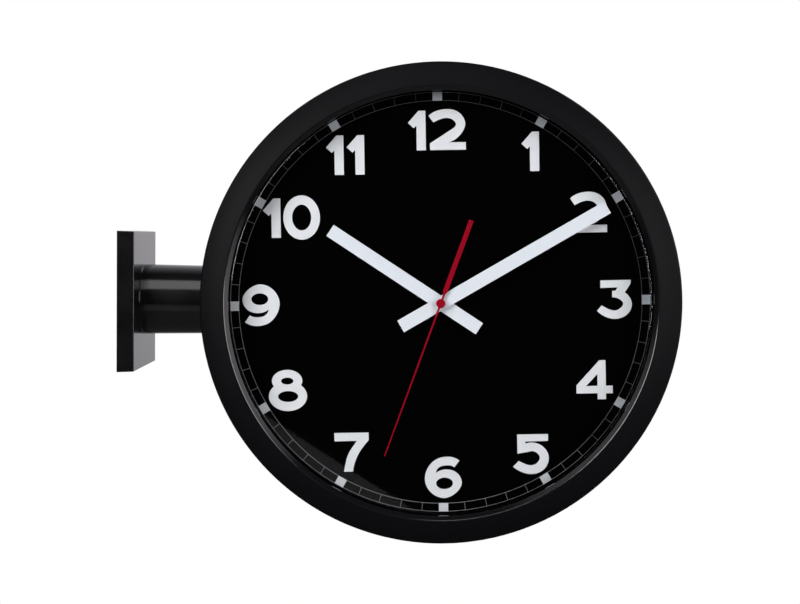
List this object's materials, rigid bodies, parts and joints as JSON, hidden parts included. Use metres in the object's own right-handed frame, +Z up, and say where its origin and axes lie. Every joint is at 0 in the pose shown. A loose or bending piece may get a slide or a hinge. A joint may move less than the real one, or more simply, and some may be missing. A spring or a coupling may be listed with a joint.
{
  "type": "double sided station clock",
  "caption": "Round two-faced wall-arm clock: domed lenses over dark dials with bar hands, a drum case, a short round arm and a square wall plate.",
  "frame": {"origin": "centre of the wall plate's back, in the plane of the wall", "axes": "+X out of the wall along the arm, +Z up, -Y out of the front dial, +Y out of the rear dial"},
  "size_m": [0.466, 0.116, 0.4],
  "materials": {
    "black_metal": "satin black powder coat",
    "zinc_steel": "zinc plated",
    "spring_steel": "bright spring steel",
    "black_screws": "black oxide",
    "lens_glass": "polished, clear",
    "black_rubber": "matte",
    "black_plastic": "fine matte",
    "dial_metal": "matte black",
    "white_print": "matte print",
    "silver_print": "silver print",
    "white_metal": "satin white",
    "red_metal": "satin red",
    "brass": "turned",
    "gear_plastic": "natural acetal",
    "knob_plastic": "matte red",
    "battery_skin": "printed steel can",
    "contact_metal": "nickel plated",
    "board": "solder mask",
    "core_steel": "bare core and lacquered coil"
  },
  "bodies": {
    "wall_side": {"wall_bracket": "zinc_steel", "wall_plate": "black_metal", "plate_screws": "black_screws", "arm_tube": "black_metal", "arm_screws": "black_screws", "case_band": "black_metal", "clamp_plate": "zinc_steel", "unit_clips": "spring_steel"},
    "front_unit": {"front_bezel": "black_metal", "front_lens": "lens_glass", "front_lens_seal": "black_rubber", "front_spacer_ring": "black_plastic", "front_dial": "dial_metal", "front_numerals": "white_print", "front_minute_track": "silver_print", "front_movement_shell": "black_plastic", "front_movement_cover": "black_plastic", "front_bush_washer": "black_rubber", "front_bush_nut": "brass", "front_battery": "battery_skin", "front_battery_contacts": "contact_metal", "front_circuit_board": "board", "front_motor_stator": "core_steel"},
    "front_rotor": {"front_rotor": "gear_plastic"},
    "front_step": {"front_step_wheel": "gear_plastic"},
    "front_second": {"front_second_wheel": "gear_plastic", "front_second_hand": "red_metal"},
    "front_third": {"front_third_wheel": "gear_plastic"},
    "front_minute": {"front_minute_wheel": "gear_plastic", "front_minute_hand": "white_metal"},
    "front_setting": {"front_setting_wheel": "gear_plastic", "front_set_knob": "knob_plastic"},
    "front_hour": {"front_hour_wheel": "gear_plastic", "front_hour_hand": "white_metal"},
    "rear_unit": {"rear_bezel": "black_metal", "rear_lens": "lens_glass", "rear_lens_seal": "black_rubber", "rear_spacer_ring": "black_plastic", "rear_dial": "dial_metal", "rear_numerals": "white_print", "rear_minute_track": "silver_print", "rear_movement_shell": "black_plastic", "rear_movement_cover": "black_plastic", "rear_bush_washer": "black_rubber", "rear_bush_nut": "brass", "rear_battery": "battery_skin", "rear_battery_contacts": "contact_metal", "rear_circuit_board": "board", "rear_motor_stator": "core_steel"},
    "rear_rotor": {"rear_rotor": "gear_plastic"},
    "rear_step": {"rear_step_wheel": "gear_plastic"},
    "rear_second": {"rear_second_wheel": "gear_plastic", "rear_second_hand": "red_metal"},
    "rear_third": {"rear_third_wheel": "gear_plastic"},
    "rear_minute": {"rear_minute_wheel": "gear_plastic", "rear_minute_hand": "white_metal"},
    "rear_setting": {"rear_setting_wheel": "gear_plastic", "rear_set_knob": "knob_plastic"},
    "rear_hour": {"rear_hour_wheel": "gear_plastic", "rear_hour_hand": "white_metal"}
  },
  "joints": [
    {"name": "front_unit_pull", "type": "slide", "parent": "wall_side", "child": "front_unit", "axis": [0, -1, 0], "range_m": [0, 0.06]},
    {"name": "front_minute_turn", "type": "hinge", "parent": "front_unit", "child": "front_minute", "pos_m": [0.266, -0.012, 0], "axis": [0, 1, 0], "continuous": true},
    {"name": "front_hour_turn", "type": "hinge", "parent": "front_unit", "child": "front_hour", "pos_m": [0.266, -0.012, 0], "axis": [0, 1, 0], "continuous": true},
    {"name": "front_setting_turn", "type": "hinge", "parent": "front_unit", "child": "front_setting", "pos_m": [0.27502, -0.012, 0.00328], "axis": [0, 1, 0], "continuous": true},
    {"name": "front_third_turn", "type": "hinge", "parent": "front_unit", "child": "front_third", "pos_m": [0.257, -0.012, 0], "axis": [0, 1, 0], "continuous": true},
    {"name": "front_second_turn", "type": "hinge", "parent": "front_unit", "child": "front_second", "pos_m": [0.266, -0.012, 0], "axis": [0, 1, 0], "continuous": true},
    {"name": "front_step_turn", "type": "hinge", "parent": "front_unit", "child": "front_step", "pos_m": [0.2652, -0.012, 0.00915], "axis": [0, 1, 0], "continuous": true},
    {"name": "front_rotor_turn", "type": "hinge", "parent": "front_unit", "child": "front_rotor", "pos_m": [0.2677, -0.012, 0.01348], "axis": [0, 1, 0], "continuous": true},
    {"name": "rear_unit_pull", "type": "slide", "parent": "wall_side", "child": "rear_unit", "axis": [0, 1, 0], "range_m": [0, 0.06]},
    {"name": "rear_minute_turn", "type": "hinge", "parent": "rear_unit", "child": "rear_minute", "pos_m": [0.266, 0.012, 0], "axis": [0, -1, 0], "continuous": true},
    {"name": "rear_hour_turn", "type": "hinge", "parent": "rear_unit", "child": "rear_hour", "pos_m": [0.266, 0.012, 0], "axis": [0, -1, 0], "continuous": true},
    {"name": "rear_setting_turn", "type": "hinge", "parent": "rear_unit", "child": "rear_setting", "pos_m": [0.25698, 0.012, 0.00328], "axis": [0, -1, 0], "continuous": true},
    {"name": "rear_third_turn", "type": "hinge", "parent": "rear_unit", "child": "rear_third", "pos_m": [0.275, 0.012, 0], "axis": [0, -1, 0], "continuous": true},
    {"name": "rear_second_turn", "type": "hinge", "parent": "rear_unit", "child": "rear_second", "pos_m": [0.266, 0.012, 0], "axis": [0, -1, 0], "continuous": true},
    {"name": "rear_step_turn", "type": "hinge", "parent": "rear_unit", "child": "rear_step", "pos_m": [0.2668, 0.012, 0.00915], "axis": [0, -1, 0], "continuous": true},
    {"name": "rear_rotor_turn", "type": "hinge", "parent": "rear_unit", "child": "rear_rotor", "pos_m": [0.2643, 0.012, 0.01348], "axis": [0, -1, 0], "continuous": true}
  ],
  "couplings": [
    {"joint": "front_hour_turn", "follows": "front_minute_turn", "ratio": 0.083333},
    {"joint": "front_setting_turn", "follows": "front_minute_turn", "ratio": -0.33333},
    {"joint": "front_third_turn", "follows": "front_minute_turn", "ratio": -8},
    {"joint": "front_second_turn", "follows": "front_minute_turn", "ratio": 60},
    {"joint": "front_step_turn", "follows": "front_minute_turn", "ratio": -450},
    {"joint": "front_rotor_turn", "follows": "front_minute_turn", "ratio": 1800},
    {"joint": "rear_hour_turn", "follows": "rear_minute_turn", "ratio": 0.083333},
    {"joint": "rear_setting_turn", "follows": "rear_minute_turn", "ratio": -0.33333},
    {"joint": "rear_third_turn", "follows": "rear_minute_turn", "ratio": -8},
    {"joint": "rear_second_turn", "follows": "rear_minute_turn", "ratio": 60},
    {"joint": "rear_step_turn", "follows": "rear_minute_turn", "ratio": -450},
    {"joint": "rear_rotor_turn", "follows": "rear_minute_turn", "ratio": 1800}
  ]
}
